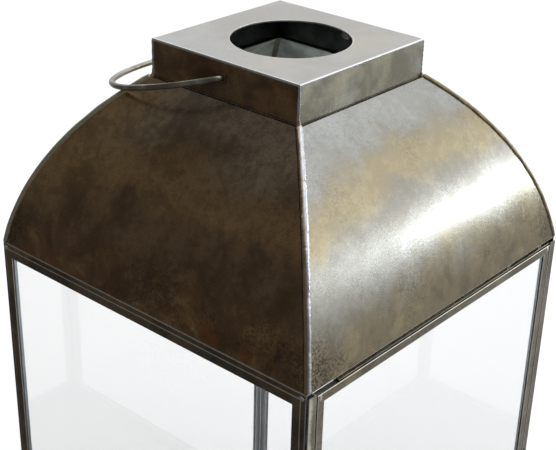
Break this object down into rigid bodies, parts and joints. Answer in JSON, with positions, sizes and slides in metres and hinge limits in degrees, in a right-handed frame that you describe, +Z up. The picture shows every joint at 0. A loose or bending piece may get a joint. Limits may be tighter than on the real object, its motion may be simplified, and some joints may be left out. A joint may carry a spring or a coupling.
{
  "type": "candle lantern",
  "caption": "Square sheet-metal candle lantern with glazed sides, one a hinged door, a curved hipped roof, a vented square cap and a swinging wire bail.",
  "frame": {"origin": "centre of the base on the surface it stands on", "axes": "+Z up, -Y is the front with the door, +X to the right seen from the front"},
  "size_m": [0.313, 0.313, 0.599],
  "materials": {
    "roof_patina": "clouded olive and umber patina over rolled steel, satin",
    "cap_patina": "grey-brown patina, satin, polished edges",
    "frame_patina": "dark brown patina with rubbed edges",
    "base_patina": "dark brown patina",
    "braze": "ground braze bead, silver with copper spots",
    "wire": "drawn wire, darkened",
    "inner_steel": "blue-grey bare steel",
    "fittings": "darkened steel",
    "glass": "clear float glass",
    "felt": "black felt"
  },
  "bodies": {
    "lantern": {"base_plate": "base_patina", "base_skirt_front": "base_patina", "base_skirt_right": "base_patina", "base_skirt_back": "base_patina", "base_skirt_left": "base_patina", "foot_pads": "felt", "right_front_stile": "frame_patina", "right_back_stile": "frame_patina", "right_top_rail": "frame_patina", "right_bottom_rail": "frame_patina", "back_right_stile": "frame_patina", "back_left_stile": "frame_patina", "back_top_rail": "frame_patina", "back_bottom_rail": "frame_patina", "left_back_stile": "frame_patina", "left_front_stile": "frame_patina", "left_top_rail": "frame_patina", "left_bottom_rail": "frame_patina", "right_glass": "glass", "back_glass": "glass", "left_glass": "glass", "right_glazing_beads": "inner_steel", "back_glazing_beads": "inner_steel", "left_glazing_beads": "inner_steel", "front_left_jamb": "frame_patina", "front_right_jamb": "frame_patina", "front_header": "frame_patina", "front_sill": "frame_patina", "eaves_tabs": "fittings", "frame_hinge_leaves": "fittings", "hinge_pins": "fittings", "catch_rivet": "fittings", "roof_panel_front": "roof_patina", "roof_panel_right": "roof_patina", "roof_panel_back": "roof_patina", "roof_panel_left": "roof_patina", "hip_bead_front_right": "braze", "hip_bead_back_right": "braze", "hip_bead_back_left": "braze", "hip_bead_front_left": "braze", "cap_rim": "cap_patina", "cap_wall_front": "cap_patina", "cap_wall_right": "cap_patina", "cap_wall_back": "cap_patina", "cap_wall_left": "cap_patina", "cap_top": "cap_patina", "bail_eyelet_right": "wire", "bail_eyelet_left": "wire"},
    "door": {"door_top_rail": "frame_patina", "door_bottom_rail": "frame_patina", "door_hinge_stile": "frame_patina", "door_catch_stile": "frame_patina", "door_glass": "glass", "door_glazing_beads": "inner_steel", "door_knob": "fittings", "door_hinge_leaves": "fittings"},
    "bail": {"bail": "wire"},
    "catch": {"door_catch": "fittings"}
  },
  "joints": [
    {"name": "door_hinge", "type": "hinge", "parent": "lantern", "child": "door", "pos_m": [-0.14105, -0.1533, 0.2362], "axis": [0, 0, -1], "range_deg": [0, 150]},
    {"name": "bail_pivot", "type": "hinge", "parent": "lantern", "child": "bail", "pos_m": [0, 0, 0.587], "axis": [1, 0, 0], "range_deg": [0, 211.6]},
    {"name": "catch_turn", "type": "hinge", "parent": "lantern", "child": "catch", "pos_m": [0.1452, -0.1516, 0.2362], "axis": [0, 1, 0], "range_deg": [0, 90]}
  ]
}
